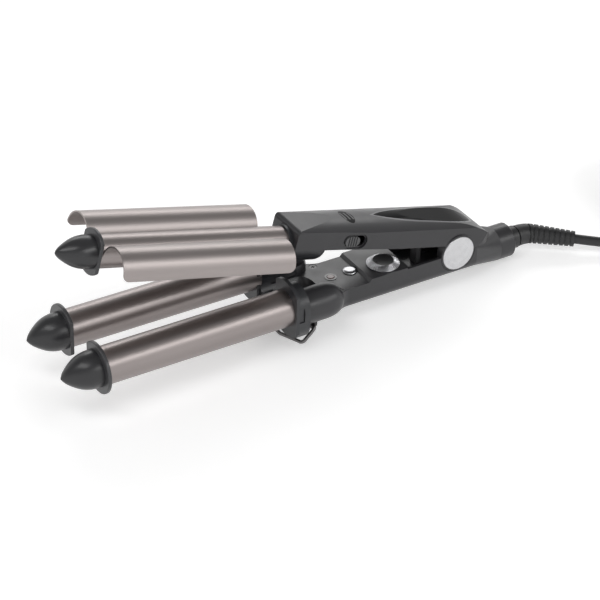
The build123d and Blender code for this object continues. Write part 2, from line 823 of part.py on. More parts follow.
with BuildPart() as hinge_room:
    # the well between the side walls, and the round seats of the upper arm's ears
    with BuildSketch(Plane.XY.offset(well_floor)):
        with Locations(((well_front + well_end) / 2, 0)):
            Rectangle(well_end - well_front, 2 * (arm_half_width - wall))
    extrude(amount=spans)
    for seat_side in sides.values():
        with BuildSketch(side_plane(seat_side * knuckle_outer + seat_side * (washer_thickness - ear_clearance / 2))):
            Circle(ear_radius + ear_clearance)
        extrude(amount=-seat_side * arm_half_width)

with BuildPart() as cord_way:
    # the wires' channel, the chamber of the cord's end, the swivel's bore and the pocket of its clip
    bore_front = arm_back - journal_length - seat_clearance
    with BuildSketch(Plane.XY.offset(arm_bottom + wall)):
        with Locations(((platform_back - 2 * wall + bore_front) / 2, 0)):
            Rectangle(bore_front - platform_back + 2 * wall, 2 * channel_half_width)
    extrude(amount=channel_height)
    with BuildSketch(cross_plane(knot_front - chamber_margin, 0, cord_end_z)):
        Circle(channel_half_width)
    extrude(amount=bore_front - knot_front + chamber_margin)
    with BuildSketch(cross_plane(bore_front, 0, cord_end_z)):
        Circle(journal_radius + fit_clearance)
    extrude(amount=arm_back - bore_front)
    with BuildSketch(cross_plane(clip_front - seat_clearance, 0, cord_end_z)):
        Circle(clip_radius + seat_clearance)
    extrude(amount=clip_thickness + 2 * seat_clearance)

with BuildPart() as below_seam:
    with BuildSketch(Plane.XY.offset(seam_z)):
        with Locations((pod_front, 0)):
            Rectangle(cover_back - pod_front, spans, align=(Align.MIN, Align.CENTER))
    extrude(amount=-spans)

with BuildPart() as lower_housing:
    add(lower_block.part)
    add(lower_cavity.part, mode=Mode.SUBTRACT)
    with Locations(*[(x, y, seam_z) for x, y in lower_screws[:4]]):
        Cylinder(boss_radius, deck_z - wall / 2 - seam_z, align=(Align.CENTER, Align.CENTER, Align.MIN))
    with Locations(*[(x, y, deck_boss_bottom) for x, y in deck_screws]):
        Cylinder(boss_radius, deck_z - wall / 2 - deck_boss_bottom, align=(Align.CENTER, Align.CENTER, Align.MIN))
    add(hinge_room.part, mode=Mode.SUBTRACT)
    for knuckle_side in sides.values():
        with BuildSketch(side_plane(knuckle_side * knuckle_inner)):
            Circle(knuckle_radius)
            with Locations((0, well_floor / 2)):
                Rectangle(2 * knuckle_radius, -well_floor)
        extrude(amount=-knuckle_side * (knuckle_outer - knuckle_inner))
    add(below_seam.part, mode=Mode.SUBTRACT)
    add(cord_way.part, mode=Mode.SUBTRACT)
    with BuildSketch(side_plane(arm_half_width)):
        Circle(pin_radius)
    extrude(amount=2 * arm_half_width, mode=Mode.SUBTRACT)
    with Locations(*[(x, y, seam_z) for x, y in lower_screws]):
        Cylinder(screw_radius, screw_bite, align=(Align.CENTER, Align.CENTER, Align.MIN), mode=Mode.SUBTRACT)
    with Locations(*[(x, y, deck_z) for x, y in deck_screws]):
        Cylinder(screw_head_radius + screw_hole_clearance, 2 * deck_screw_sink, mode=Mode.SUBTRACT)
        Cylinder(screw_radius, 4 * deck_screw_length, mode=Mode.SUBTRACT)
    # the wires' way from each barrel
    for pod_side in sides.values():
        with BuildSketch(cross_plane(pod_front, pod_side * barrel_offset, axis_z)):
            Circle(wire_hole_radius)
        extrude(amount=wall, mode=Mode.SUBTRACT)
    # lugs of the wire stand
    for lug_side in sides.values():
        with BuildSketch(side_plane(lug_side * lug_inner)):
            with Locations((stand_pivot_x, stand_pivot_z)):
                Circle(lug_radius)
            with Locations((stand_pivot_x, stand_pivot_z + lug_radius)):
                Rectangle(2 * lug_radius, 2 * lug_radius)
            with Locations((stand_pivot_x, stand_pivot_z)):
                Circle(stand_wire + fit_clearance, mode=Mode.SUBTRACT)
        extrude(amount=-lug_side * (lug_outer - lug_inner))
    # holes of the dial's shaft, the button and the lamp
    with Locations((dial_x, dial_y, platform_z)):
        Cylinder(dial_shaft_radius + seat_clearance, 2.5 * wall, mode=Mode.SUBTRACT)
    with Locations((button_x, 0, deck_z)):
        Cylinder(button_radius + slide_clearance, 2.5 * wall, mode=Mode.SUBTRACT)
    with Locations((lamp_x, 0, deck_z)):
        Cylinder(lamp_radius, 2.5 * wall, mode=Mode.SUBTRACT)
save(lower_housing, "lower_housing", lower_pose)

with BuildPart() as bottom_cover:
    add(lower_block.part)
    add(lower_cavity.part, mode=Mode.SUBTRACT)
    add(hinge_room.part, mode=Mode.SUBTRACT)
    add(cord_way.part, mode=Mode.SUBTRACT)
    add(below_seam.part, mode=Mode.INTERSECT)
    with Locations(*[(x, y, arm_bottom + cover_boss_bottom) for x, y in lower_screws[:4]]):
        Cylinder(boss_radius, seam_z - arm_bottom - cover_boss_bottom, align=(Align.CENTER, Align.CENTER, Align.MIN))
    with Locations(*[(x, y, arm_bottom) for x, y in lower_screws]):
        Cylinder(screw_radius + screw_hole_clearance, 2 * (seam_z - arm_bottom) + 1, mode=Mode.SUBTRACT)
        Cylinder(screw_head_radius + screw_hole_clearance, 2 * screw_sink, mode=Mode.SUBTRACT)
save(bottom_cover, "bottom_cover", lower_pose)
screws(lower_screws, arm_bottom + screw_sink - screw_head_height, lower_pose, "lower_screws")

with BuildPart() as deck_screw_group:
    head_seat = deck_z - deck_screw_sink
    with Locations(*[(x, y, head_seat) for x, y in deck_screws]):
        Cylinder(screw_head_radius, deck_screw_head, align=(Align.CENTER, Align.CENTER, Align.MIN))
        Cylinder(screw_radius, deck_screw_length, align=(Align.CENTER, Align.CENTER, Align.MAX))
    with Locations(*[(x, y, head_seat + deck_screw_head) for x, y in deck_screws]):
        Box(cross_length, cross_width, deck_screw_head, mode=Mode.SUBTRACT)
        Box(cross_width, cross_length, deck_screw_head, mode=Mode.SUBTRACT)
save(deck_screw_group, "deck_screws", lower_pose)


# ================================================================ collars that hold the lower barrels
def make_collar(name, side):
    """A tall hair guard and a round band, bored for the barrel and notched for the upper arm's head."""
    y = side * barrel_offset
    guard_shift = side * (guard_half_width - guard_inner) / 2
    with BuildPart() as collar:
        with BuildSketch(cross_plane(collar_front, y, axis_z)):
            Circle(guard_radius)
            with Locations((guard_shift, 0)):
                Rectangle(guard_half_width + guard_inner, spans, mode=Mode.INTERSECT)
        extrude(amount=guard_thickness)
        with BuildSketch(cross_plane(collar_front + guard_thickness, y)):
            with Locations((0, axis_z)):
                Circle(collar_radius)
            with Locations((0, collar_low_z)):
                Circle(collar_low_radius)
            make_hull()
        extrude(amount=pod_front - collar_front - guard_thickness)
        with BuildSketch(cross_plane(collar_front, y, axis_z)):
            Circle(lower_barrel_radius)
        extrude(amount=lower_barrel_back - collar_front, mode=Mode.SUBTRACT)
        with BuildSketch(cross_plane(lower_barrel_back, y, axis_z)):
            Circle(wire_hole_radius)
        extrude(amount=pod_front - lower_barrel_back, mode=Mode.SUBTRACT)
        with BuildSketch(cross_plane(collar_front + guard_thickness, y + side * collar_radius, axis_z)):
            Rectangle(2 * collar_slot_depth, collar_slot_height)
        extrude(amount=collar_slot_length, mode=Mode.SUBTRACT)
        add(jaw_valley(head_clearance, head_front - head_clearance - collar_front - guard_thickness),
            mode=Mode.SUBTRACT)
    save(collar, f"{name}_collar", lower_pose)


for collar_name, collar_side in sides.items():
    make_collar(collar_name, collar_side)

# ================================================================ hinge: pin, washers and opening spring
with BuildPart() as hinge_pin:
    with BuildSketch(side_plane(pin_half_length)):
        Circle(pin_radius)
    extrude(amount=2 * pin_half_length)
save(hinge_pin, "hinge_pin", lower_pose)

with BuildPart() as hinge_washers:
    for washer_side in sides.values():
        with BuildSketch(side_plane(washer_side * knuckle_outer)):
            Circle(washer_radius)
            Circle(pin_radius, mode=Mode.SUBTRACT)
        extrude(amount=-washer_side * washer_thickness)
save(hinge_washers, "hinge_washers", lower_pose)

# where the spring's upper leg presses on the upper arm's base, in the lower arm's frame
swing = radians(open_angle)
press_height = upper_bottom - spring_wire - seat_clearance
press_x = press_height * sin(swing) - spring_reach * cos(swing)
press_z = spring_reach * sin(swing) + press_height * cos(swing)
press_distance = hypot(press_x, press_z)
coil_start = degrees(atan2(press_z, press_x) - acos(spring_radius / press_distance))
coil_height = spring_pitch * (spring_turns + coil_start / 360)
upper_leg = sqrt(press_distance ** 2 - spring_radius ** 2)
lower_leg = -well_floor - seat_clearance

with BuildPart() as hinge_spring:
    with BuildLine() as coil:
        Helix(spring_pitch, coil_height, spring_radius)
    with BuildSketch(Plane(origin=coil.line @ 0, z_dir=coil.line % 0)):
        Circle(spring_wire)
    sweep(is_frenet=True)
    with BuildSketch(Plane(origin=coil.line @ 0, z_dir=-(coil.line % 0))):
        Circle(spring_wire)
    extrude(amount=upper_leg)
    with BuildSketch(Plane(origin=coil.line @ 1, z_dir=coil.line % 1)):
        Circle(spring_wire)
    extrude(amount=lower_leg)
spring_pose = Location((0, -coil_height / 2, 0), (-90, 0, 0)) * Location((0, 0, 0), (0, 0, -coil_start))
save(hinge_spring, "hinge_spring", lower_pose * spring_pose)

# ================================================================ dial with its shaft and potentiometer
dial_bottom = platform_z + dial_lift
dial_floor = dial_bottom + dial_floor_thickness
dial_top = dial_bottom + dial_height

slope_height = dial_height - dial_rim
slope_run = dial_radius - dial_crown_radius

with BuildPart() as dial_flute:
    with BuildSketch(Plane(origin=(dial_radius + slope_run, 0, dial_bottom + dial_rim - slope_height),
                           z_dir=(-slope_run, 0, slope_height))):
        Circle(dial_flute_radius)
    extrude(amount=3 * hypot(slope_run, slope_height))

with BuildPart() as dial_ring:
    with BuildSketch(side_plane(dial_y)):
        with BuildLine():
            Polyline((dial_x + dial_shaft_radius, dial_bottom), (dial_x + dial_radius, dial_bottom),
                     (dial_x + dial_radius, dial_bottom + dial_rim), (dial_x + dial_crown_radius, dial_top),
                     (dial_x + dial_cap_radius, dial_top), (dial_x + dial_cap_radius, dial_floor),
                     (dial_x + dial_shaft_radius, dial_floor), (dial_x + dial_shaft_radius, dial_bottom))
        make_face()
    revolve(axis=Axis((dial_x, dial_y, 0), (0, 0, 1)))
    with Locations((dial_x, dial_y, 0)):
        with PolarLocations(0, dial_flutes):
            add(dial_flute.part, mode=Mode.SUBTRACT)
save(dial_ring, "dial_ring", lower_pose)

with BuildPart() as dial_cap:
    with Locations((dial_x, dial_y, dial_floor)):
        Cylinder(dial_cap_radius, dial_top - dial_floor, align=(Align.CENTER, Align.CENTER, Align.MIN))
    dish_radius = (dial_cap_radius ** 2 + dial_dish ** 2) / (2 * dial_dish)
    with Locations((dial_x, dial_y, dial_top - dial_dish + dish_radius)):
        Sphere(dish_radius, mode=Mode.SUBTRACT)
    with Locations((dial_x - dial_mark_offset, dial_y, dial_top)):
        Cylinder(dial_mark_radius, 2 * (dial_dish + dial_mark_depth), mode=Mode.SUBTRACT)
save(dial_cap, "dial_cap", lower_pose)

with BuildPart() as dial_shaft:
    with Locations((dial_x, dial_y, dial_floor)):
        Cylinder(dial_shaft_radius, dial_floor - board_top - shaft_gap, align=(Align.CENTER, Align.CENTER, Align.MAX))
save(dial_shaft, "dial_shaft", lower_pose)

with BuildPart() as dial_potentiometer:
    with Locations((dial_x, dial_y, board_top)):
        Box(pot_size, pot_size, pot_height, align=(Align.CENTER, Align.CENTER, Align.MIN))
        Cylinder(dial_shaft_radius + seat_clearance, spans, mode=Mode.SUBTRACT)
save(dial_potentiometer, "dial_potentiometer", lower_pose)

# ================================================================ power button, its switch, lamp and board
button_flange_top = deck_z - wall - seat_clearance

with BuildPart() as power_button:
    with BuildSketch(side_plane()):
        with BuildLine():
            Polyline((button_x, button_edge_z + button_crown), (button_x, switch_top - stem_entry),
                     (button_x + stem_radius, switch_top - stem_entry),
                     (button_x + stem_radius, button_flange_top - button_flange_thickness),
                     (button_x + button_flange_radius, button_flange_top - button_flange_thickness),
                     (button_x + button_flange_radius, button_flange_top), (button_x + button_radius, button_flange_top),
                     (button_x + button_radius, button_edge_z))
            Spline((button_x + button_radius, button_edge_z), (button_x, button_edge_z + button_crown),
                   tangents=((-0.5, 1), (-1, 0)))
        make_face()
    revolve(axis=Axis((button_x, 0, 0), (0, 0, 1)))
save(power_button, "power_button", lower_pose)

with BuildPart() as power_switch:
    with Locations((button_x, 0, board_top)):
        Box(switch_size, switch_size, switch_top - board_top, align=(Align.CENTER, Align.CENTER, Align.MIN))
    with Locations((button_x, 0, switch_top)):
        Cylinder(stem_radius + slide_clearance, 2 * (stem_entry + button_travel + slide_clearance), mode=Mode.SUBTRACT)
save(power_switch, "power_switch", lower_pose)

with BuildPart() as indicator_lens:
    with Locations((lamp_x, 0, deck_z - wall)):
        Cylinder(lamp_radius, wall + lamp_proud, align=(Align.CENTER, Align.CENTER, Align.MIN))
    fillet(indicator_lens.faces().sort_by(Axis.Z)[-1].edges(), lamp_proud)
save(indicator_lens, "indicator_lens", lower_pose)

with BuildPart() as indicator_bezel:
    with Locations((lamp_x, 0, deck_z)):
        Cylinder(bezel_radius, lamp_proud / 2, align=(Align.CENTER, Align.CENTER, Align.MIN))
        Cylinder(lamp_radius, spans, mode=Mode.SUBTRACT)
save(indicator_bezel, "indicator_bezel", lower_pose)

with BuildPart() as indicator_led:
    with Locations((lamp_x, 0, board_top)):
        Cylinder(led_radius, led_height - led_radius, align=(Align.CENTER, Align.CENTER, Align.MIN))
    with Locations((lamp_x, 0, board_top + led_height - led_radius)):
        Sphere(led_radius)
save(indicator_led, "indicator_led", lower_pose)

with BuildPart() as circuit_board:
    with BuildSketch(Plane.XY.offset(board_top - board_thickness)):
        with Locations(((board_front + board_back) / 2, 0)):
            Rectangle(board_back - board_front, 2 * board_half_width)
        with Locations(*lower_screws[:4]):
            Circle(boss_radius + seat_clearance, mode=Mode.SUBTRACT)
    extrude(amount=board_thickness)
    # solder joints under the two switches
    with Locations(*[(x, y, board_top - board_thickness) for x, y in ((dial_x, dial_y), (button_x, 0))]):
        with GridLocations(solder_pitch, solder_pitch, 2, 2):
            Cylinder(solder_radius, solder_height, align=(Align.CENTER, Align.CENTER, Align.MAX))
save(circuit_board, "circuit_board", lower_pose)

# ================================================================ wire stand
lean = radians(stand_lean)
foot_reach = (stand_pivot_z - floor_z - stand_wire) / cos(lean)
stand_plane = Plane(origin=(stand_pivot_x, 0, stand_pivot_z), x_dir=(0, 1, 0), z_dir=(-cos(lean), 0, sin(lean)))
half_path = ((lug_inner - stand_end_proud, 0), (stand_half_width, 0), (stand_half_width, foot_reach - stand_dip),
             (stand_foot_half_width, foot_reach))

with BuildPart() as wire_stand:
    with BuildLine(stand_plane):
        FilletPolyline(*[(-y, reach) for y, reach in half_path], *reversed(half_path), radius=stand_bend)
    with BuildSketch(Plane(origin=(stand_pivot_x, stand_end_proud - lug_inner, stand_pivot_z), z_dir=(0, 1, 0))):
        Circle(stand_wire)
    sweep()
save(wire_stand, "wire_stand", lower_pose)

# ================================================================ swivel and cord guard
neck_front = arm_back + neck_gap
neck_back = neck_front + swivel_neck_length
journal_front = arm_back - journal_length
guard_start = neck_back + neck_gap

with BuildPart() as swivel_neck:
    with BuildSketch(side_plane()):
        with BuildLine():
            Polyline((journal_front, cord_end_z + stem_bore), (journal_front, cord_end_z + journal_radius),
                     (clip_front, cord_end_z + journal_radius), (clip_front, cord_end_z + groove_radius),
                     (clip_front + clip_thickness, cord_end_z + groove_radius),
                     (clip_front + clip_thickness, cord_end_z + journal_radius),
                     (neck_front, cord_end_z + journal_radius), (neck_front, cord_end_z + swivel_neck_radius),
                     (neck_back - end_chamfer, cord_end_z + swivel_neck_radius),
                     (neck_back, cord_end_z + swivel_neck_radius - end_chamfer), (neck_back, cord_end_z + stem_bore),
                     (journal_front, cord_end_z + stem_bore))
        make_face()
    revolve(axis=Axis((0, 0, cord_end_z), (1, 0, 0)))
save(swivel_neck, "swivel_neck", lower_pose)

with BuildPart() as swivel_clip:
    with BuildSketch(cross_plane(clip_front, 0, cord_end_z)):
        Circle(clip_radius)
        Circle(groove_radius, mode=Mode.SUBTRACT)
        with Locations((0, clip_radius)):
            Rectangle(clip_gap, 2 * (clip_radius - groove_radius) + 2, mode=Mode.SUBTRACT)
    extrude(amount=clip_thickness)
save(swivel_clip, "swivel_clip", lower_pose)

yaw = radians(guard_yaw)
pitch = radians(guard_pitch)
exit_way = Vector(cos(yaw) * cos(pitch), sin(yaw) * cos(pitch), -sin(pitch))
guard_corner = Vector(guard_start + guard_straight, 0, cord_end_z)
guard_end = guard_corner + exit_way * guard_length

with BuildPart() as cord_guard:
    with BuildLine() as guard_path:
        FilletPolyline((guard_start, 0, cord_end_z), guard_corner, guard_end, radius=guard_bend)
    with BuildSketch(Plane(origin=guard_path.line @ 0, z_dir=guard_path.line % 0)):
        Circle(guard_root_radius)
    with BuildSketch(Plane(origin=guard_path.line @ 1, z_dir=guard_path.line % 1)):
        Circle(guard_end_radius)
    sweep(multisection=True)
    for rib in range(guard_ribs):
        share = guard_rib_first + (1 - guard_rib_first) * rib / guard_ribs
        rib_radius = guard_root_radius + (guard_end_radius - guard_root_radius) * share
        with BuildSketch(Plane(origin=guard_path.line @ share, z_dir=guard_path.line % share)):
            Circle(rib_radius + 1)
            Circle(rib_radius - guard_rib_depth, mode=Mode.SUBTRACT)
        extrude(amount=guard_rib_width, mode=Mode.SUBTRACT)
    # core through the swivel, with the collar that takes the pull of the cord
    with BuildSketch(cross_plane(knot_front, 0, cord_end_z)):
        Circle(stem_bore - slide_clearance)
    extrude(amount=guard_start - knot_front)
    with BuildSketch(cross_plane(knot_front, 0, cord_end_z)):
        Circle(knot_radius)
    extrude(amount=knot_length)
save(cord_guard, "cord_guard", lower_pose)

# ================================================================ cord, its coil and its plug
cord_floor = floor_z + cord_radius + cord_lift
plug_z = floor_z + plug_height / 2


def make_cord(label, points):
    """A round tube on straight runs joined by arcs as large as the runs allow."""
    runs = [b - a for a, b in zip(points, points[1:])]
    turns = [radians(a.get_angle(b)) for a, b in zip(runs, runs[1:])]
    radii = [0.45 * min(a.length, b.length) / tan(turn / 2) for a, b, turn in zip(runs, runs[1:], turns)]
    with BuildPart() as tube:
        with BuildLine() as path:
            FilletPolyline(*points, radius=radii)
        with BuildSketch(Plane(origin=path.line @ 0, z_dir=path.line % 0)):
            Circle(cord_radius)
        sweep()
    full = pi * cord_radius ** 2 * path.wire().length
    print(label, "length", round(path.wire().length, 1), "volume share", round(tube.part.volume / full, 4),
          "runs", [round(run.length, 1) for run in runs], "radii", [round(radius) for radius in radii])
    save(tube, label, lower_pose)
    return path.wire().length


lead_points = [guard_end, guard_end + exit_way * lead_run, Vector(127.25, -41.0, cord_floor + 0.5),
               Vector(149.75, -44.6, cord_floor), Vector(165.0, -44.9, cord_floor)]
# the tail leaves the top turn and comes down to the plug: places from the coil's middle, and height
tail_stations = ((20.4, -38.0, 18.1), (38.0, -36.4, 14.5), (55.0, -33.4, 7.9), (71.5, -29.8, 2.6))
plug_x = coil_x + plug_offset
plug_y = coil_y + plug_shift
tail_points = [Vector(coil_x + x, coil_y + y, cord_floor + rise) for x, y, rise in tail_stations]
tail_points += [Vector(plug_x - plug_run, plug_y, plug_z - cord_dip), Vector(plug_x, plug_y, plug_z)]
lead_length = make_cord("cord_lead", lead_points)
tail_length = make_cord("cord_tail", tail_points)
coil_length = cord_length - lead_length - tail_length
print("coil turns", round(coil_length / (2 * pi * coil_mean_radius), 2))

with BuildPart() as cord_coil:
    with BuildSketch(Plane(origin=(coil_x, coil_y, floor_z), x_dir=(1, 0, 0), z_dir=(0, -1, 0))):
        with Locations((coil_mean_radius, coil_height_stacked / 2)):
            RectangleRounded(coil_width, coil_height_stacked, coil_round)
    revolve(axis=Axis((coil_x, coil_y, 0), (0, 0, 1)))
save(cord_coil, "cord_coil", lower_pose)


def along_plug(distance):
    """A plane across the plug, that far along it, with X across the two pins and Y up."""
    return Plane(origin=(plug_x + distance, plug_y, plug_z), x_dir=(0, 1, 0), z_dir=(1, 0, 0))


with BuildPart() as plug_body:
    with BuildSketch(along_plug(0)):
        Circle(plug_tail_radius)
    with BuildSketch(along_plug(plug_tail)):
        Circle(plug_root_radius)
    loft()
    with BuildSketch(along_plug(plug_tail)):
        RectangleRounded(plug_shoulder_width, plug_height, plug_round)
    with BuildSketch(along_plug(plug_tail + plug_shoulder)):
        RectangleRounded(plug_width, plug_height, plug_round)
    loft()
    with BuildSketch(along_plug(plug_tail + plug_shoulder)):
        RectangleRounded(plug_width, plug_height, plug_round)
    extrude(amount=plug_length - plug_shoulder)
save(plug_body, "plug_body", lower_pose)

with BuildPart() as plug_pins:
    with BuildSketch(along_plug(plug_tail + plug_length)):
        with GridLocations(plug_pin_spacing, 1, 2, 1):
            Circle(plug_pin_radius)
    extrude(amount=plug_pin_length)
    fillet(plug_pins.faces().group_by(Axis.X)[-1].edges(), plug_pin_radius / 2)
save(plug_pins, "plug_pins", lower_pose)
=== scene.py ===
"""Looks of the hair waver: camera, cord, materials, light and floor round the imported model."""
from math import cos, pi, radians, sin

import bpy
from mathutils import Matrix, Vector


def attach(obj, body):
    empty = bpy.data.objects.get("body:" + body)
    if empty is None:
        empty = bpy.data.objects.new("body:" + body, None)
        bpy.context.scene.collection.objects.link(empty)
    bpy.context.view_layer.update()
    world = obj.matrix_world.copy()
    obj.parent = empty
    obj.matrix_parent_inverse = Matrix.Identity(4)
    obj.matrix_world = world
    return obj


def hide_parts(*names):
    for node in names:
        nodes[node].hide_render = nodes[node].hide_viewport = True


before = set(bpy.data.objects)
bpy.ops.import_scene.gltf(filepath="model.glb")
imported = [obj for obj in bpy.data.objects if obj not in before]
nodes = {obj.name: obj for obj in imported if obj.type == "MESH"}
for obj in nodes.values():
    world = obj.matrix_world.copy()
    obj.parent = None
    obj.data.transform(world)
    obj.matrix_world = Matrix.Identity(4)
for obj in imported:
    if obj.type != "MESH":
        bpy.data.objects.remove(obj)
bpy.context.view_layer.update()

JAWS_OPEN = radians(14.5)           # how far the upper arm is raised at rest
HINGE = (0.10525, 0.0, 0.0239)      # centre of the jaws' hinge


def make_object(name, data):
    """Puts new data into the scene under that name."""
    thing = bpy.data.objects.new(name, data)
    bpy.context.scene.collection.objects.link(thing)
    return thing


# ---------------------------------------------------------------- camera
CAMERA_PLACE = (-0.59162, -0.94538, 0.75629)
CAMERA_TURN = (radians(56.395), radians(-1.327), radians(-31.391))
LENS_MM = 138.33
SENSOR_MM = 36.0
NEAREST_SEEN = 0.01

camera_data = bpy.data.cameras.new("camera")
camera_data.lens = LENS_MM
camera_data.sensor_width = SENSOR_MM
camera_data.clip_start = NEAREST_SEEN
camera = make_object("camera", camera_data)
camera.location = CAMERA_PLACE
camera.rotation_euler = CAMERA_TURN
bpy.context.scene.camera = camera

# ---------------------------------------------------------------- cord
CORD_RADIUS = 0.003
COIL_X, COIL_Y = 0.2835, -0.003
COIL_START = radians(278)
COIL_RINGS = (0.0272, 0.0334, 0.0396)    # radius of the inner, middle and outer turns
COIL_FLOOR = 0.0031                      # height of the lowest turns' middle
COIL_STEP = 0.0062                       # from one row of turns up to the next
ROW_BULGE = 0.0019                       # how far a turn swings out as it climbs to the next row
TURN_POINTS = 14
CLIMB_POINTS = 4                         # points at the end of a turn that lead to the next one
SPLINE_SHARE = 0.975                     # the smooth line's radius over that of its control points
BEVEL_RESOLUTION = 5
LINE_RESOLUTION = 8

lead = [(0.19191, -0.01780, 0.00811), (0.21115, -0.03204, 0.00643), (0.2325, -0.0410, 0.0036),
        (0.2550, -0.0446, 0.0031), (0.27025, -0.0449, 0.0031)]
tail_from_coil = [(0.0204, -0.0380, 0.0212), (0.0380, -0.0364, 0.0176), (0.0550, -0.0334, 0.0110),
                  (0.0715, -0.0298, 0.0057), (0.0865, -0.0284, 0.0065), (0.0985, -0.0284, 0.00685)]
tail = [(COIL_X + x, COIL_Y + y, z) for x, y, z in tail_from_coil]


def coil_point(radius, angle, height):
    """The control point that brings the smooth line to this radius about the coil's middle."""
    reach = radius / SPLINE_SHARE
    return (COIL_X + reach * cos(angle), COIL_Y + reach * sin(angle), height)


def coil_turns():
    """The put-away turns, a diameter apart beside and on each other."""
    inner, middle, outer = COIL_RINGS
    stack = [(outer, 0), (middle, 0), (inner, 0), (inner, 1), (middle, 1), (outer, 1),
             (outer, 2), (middle, 2), (inner, 2), (inner, 3), (middle, 3), (outer, 3)]
    points = []
    for turn, (radius, row) in enumerate(stack):
        next_radius, next_row = stack[min(turn + 1, len(stack) - 1)]
        bulge = ROW_BULGE * (next_row - row) * (1 if radius == outer else -1)
        for step in range(TURN_POINTS):
            share = max(0.0, (step - TURN_POINTS + CLIMB_POINTS) / CLIMB_POINTS)
            swing = 4 * bulge * share * (1 - share)
            place = radius + (next_radius - radius) * share + swing
            height = COIL_FLOOR + COIL_STEP * (row + (next_row - row) * share)
            points.append(coil_point(place, COIL_START + 2 * pi * (turn + step / TURN_POINTS), height))
    last_radius, last_row = stack[-1]
    points.append(coil_point(last_radius, COIL_START, COIL_FLOOR + COIL_STEP * last_row))
    return points


def nurbs(name, points, radius):
    """A round tube along one smooth NURBS line; the points' own radius gives its thickness."""
    curve = bpy.data.curves.new(name, "CURVE")
    curve.dimensions = "3D"
    curve.bevel_depth = 1.0
    curve.bevel_resolution = BEVEL_RESOLUTION
    curve.resolution_u = LINE_RESOLUTION
    curve.use_fill_caps = True
    spline = curve.splines.new("NURBS")
    spline.points.add(len(points) - 1)
    for point, place in zip(spline.points, points):
        point.co = (*place, 1.0)
        point.radius = radius
    spline.order_u = 3
    spline.use_endpoint_u = True
    return make_object(name, curve)


cord = nurbs("cord", lead + coil_turns() + tail, CORD_RADIUS)
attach(cord, "lower_arm")
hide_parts("cord_lead", "cord_coil", "cord_tail")


# ---------------------------------------------------------------- materials
NOISE_LOW, NOISE_HIGH = 0.3, 0.7    # a noise's value stays mostly between these


class Look:
    """A node material: a Principled shader with helpers for the detail that feeds it."""

    def __init__(self, name, color, metallic=0.0, roughness=0.5):
        self.material = bpy.data.materials.new(name)
        self.material.use_nodes = True
        self.tree = self.material.node_tree
        self.shader = self.tree.nodes["Principled BSDF"]
        self.shader.inputs["Base Color"].default_value = (*color, 1.0)
        self.shader.inputs["Metallic"].default_value = metallic
        self.shader.inputs["Roughness"].default_value = roughness
        self.color = color
        self.roughness = roughness

    def node(self, kind, **values):
        """A new shader node with these settings."""
        made = self.tree.nodes.new(kind)
        for name, value in values.items():
            setattr(made, name, value)
        return made

    def link(self, out, into):
        """Joins a node's output to an input."""
        self.tree.links.new(out, into)

    def place(self, scale=(1, 1, 1), shift=(0, 0, 0), tilt=0.0):
        """The object's own coordinates, in metres, turned about Y, then scaled and moved."""
        where = self.node("ShaderNodeTexCoord")
        turn = self.node("ShaderNodeMapping")
        turn.inputs["Rotation"].default_value = (0.0, tilt, 0.0)
        self.link(where.outputs["Object"], turn.inputs["Vector"])
        mapping = self.node("ShaderNodeMapping")
        mapping.inputs["Location"].default_value = shift
        mapping.inputs["Scale"].default_value = scale
        self.link(turn.outputs["Vector"], mapping.inputs["Vector"])
        return mapping.outputs["Vector"]

    def noise(self, vector, scale, detail=2.0, rough=0.5):
        """A noise's value at this place; the scale is in features to a metre."""
        made = self.node("ShaderNodeTexNoise")
        made.inputs["Scale"].default_value = scale
        made.inputs["Detail"].default_value = detail
        made.inputs["Roughness"].default_value = rough
        self.link(vector, made.inputs["Vector"])
        return made.outputs["Fac"]

    def spread(self, value, low, high):
        """A noise's value stretched to low...high."""
        made = self.node("ShaderNodeMapRange")
        made.inputs["From Min"].default_value = NOISE_LOW
        made.inputs["From Max"].default_value = NOISE_HIGH
        made.inputs["To Min"].default_value = low
        made.inputs["To Max"].default_value = high
        self.link(value, made.inputs["Value"])
        return made.outputs["Result"]

    def vary_roughness(self, value, amount):
        """The roughness, smoother and rougher by an amount."""
        varied = self.spread(value, self.roughness - amount, self.roughness + amount)
        self.link(varied, self.shader.inputs["Roughness"])

    def vary_color(self, value, amount):
        """The base colour, darker and lighter by a share."""
        mix = self.node("ShaderNodeMix", data_type="RGBA")
        mix.inputs["A"].default_value = (*[c * (1 - amount) for c in self.color], 1.0)
        mix.inputs["B"].default_value = (*[c * (1 + amount) for c in self.color], 1.0)
        self.link(self.spread(value, 0.0, 1.0), mix.inputs["Factor"])
        self.link(mix.outputs["Result"], self.shader.inputs["Base Color"])

    def bump(self, height, distance, strength):
        """Relief from a height, with this depth in metres."""
        made = self.node("ShaderNodeBump")
        made.inputs["Distance"].default_value = distance
        made.inputs["Strength"].default_value = strength
        self.link(height, made.inputs["Height"])
        self.link(made.outputs["Normal"], self.shader.inputs["Normal"])

    def specular(self, level):
        """How strongly the plastic mirrors its surroundings; 0.5 is usual."""
        self.shader.inputs["Specular IOR Level"].default_value = level
        return self

    def dress(self, *names):
        """Gives this look to CAD nodes."""
        for name in names:
            slots = nodes[name].material_slots
            for slot in slots:
                slot.material = self.material
            if not slots:
                nodes[name].data.materials.append(self.material)


# scales are in features to a metre, and depths in metres
GRAIN_SCALE = 3000.0
GRAIN_DEPTH = 0.00001
WEAR_SCALE = 90.0
TONE_SCALE = 35.0
METAL_LINES = (6.0, 900.0, 900.0)        # long along the piece, about a millimetre across it
METAL_DRIFT = (6.0, 40.0, 40.0)
METAL_RELIEF = 0.0000001
RING_SCALE = 2500.0
RING_DEPTH = 0.00002
MOTTLE_SCALE = 300.0


